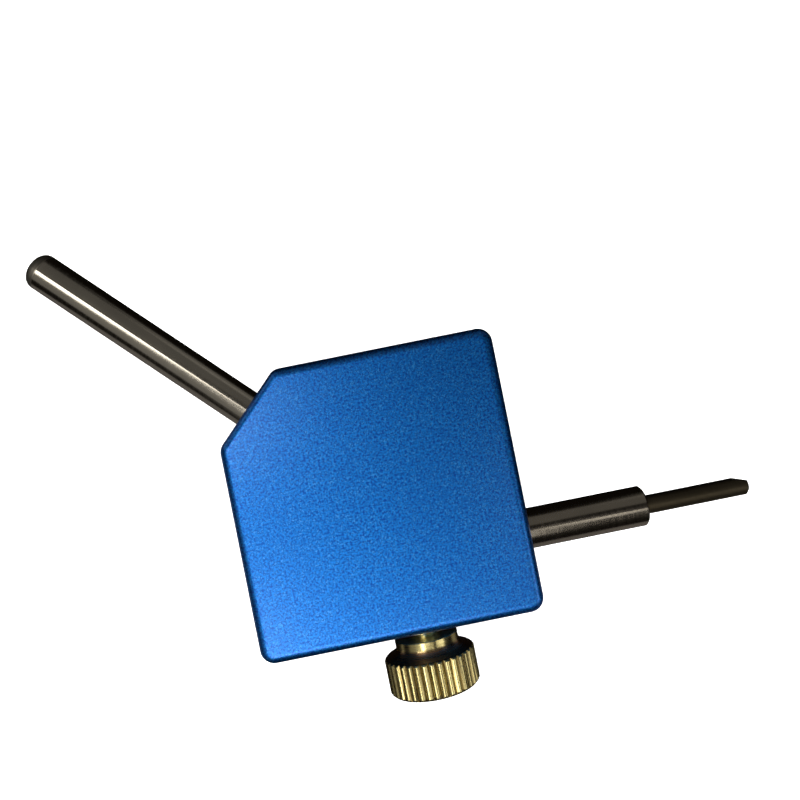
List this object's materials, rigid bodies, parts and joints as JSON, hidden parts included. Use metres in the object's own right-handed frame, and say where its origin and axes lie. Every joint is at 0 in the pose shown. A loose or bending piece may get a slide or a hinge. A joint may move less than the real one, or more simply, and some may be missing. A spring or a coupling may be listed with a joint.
{
  "type": "angled tool clamp block",
  "caption": "Square block with one cut corner, a round rod out of the cut corner at 45 degrees, and a stepped tool that slides in a bore and is locked by a knurled thumb screw.",
  "frame": {"origin": "centre of the block's square outline, on its back face", "axes": "+X out along the sliding tool, -Y out along the thumb screw, +Z out of the block's front face"},
  "size_m": [0.105, 0.0787, 0.018],
  "materials": {
    "blue_anodised": "bead-blasted, blue anodised",
    "polished_steel": "ground and polished",
    "turned_steel": "turned and polished",
    "satin_steel": "hardened, satin",
    "black_steel": "black oxide",
    "brass": "turned and knurled, bright",
    "nylon": "natural, moulded"
  },
  "bodies": {
    "block": {"clamp_block": "blue_anodised", "angled_rod": "polished_steel", "rod_set_screws": "black_steel"},
    "tool": {"tool_sleeve": "turned_steel", "tool_pin": "satin_steel"},
    "pad": {"swivel_pad": "nylon"},
    "screw": {"thumb_screw": "brass"}
  },
  "joints": [
    {"name": "tool_slide", "type": "slide", "parent": "block", "child": "tool", "axis": [1, 0, 0], "range_m": [-0.0025, 0.028]},
    {"name": "pad_slide", "type": "slide", "parent": "block", "child": "pad", "axis": [0, -1, 0], "range_m": [0, 0.0048]},
    {"name": "screw_turn", "type": "hinge", "parent": "pad", "child": "screw", "pos_m": [0.0031, -0.0213, 0.009], "axis": [0, -1, 0], "range_deg": [0, 2160]}
  ],
  "couplings": [
    {"joint": "pad_slide", "follows": "screw_turn", "m_per_rad": 0.00012732}
  ]
}
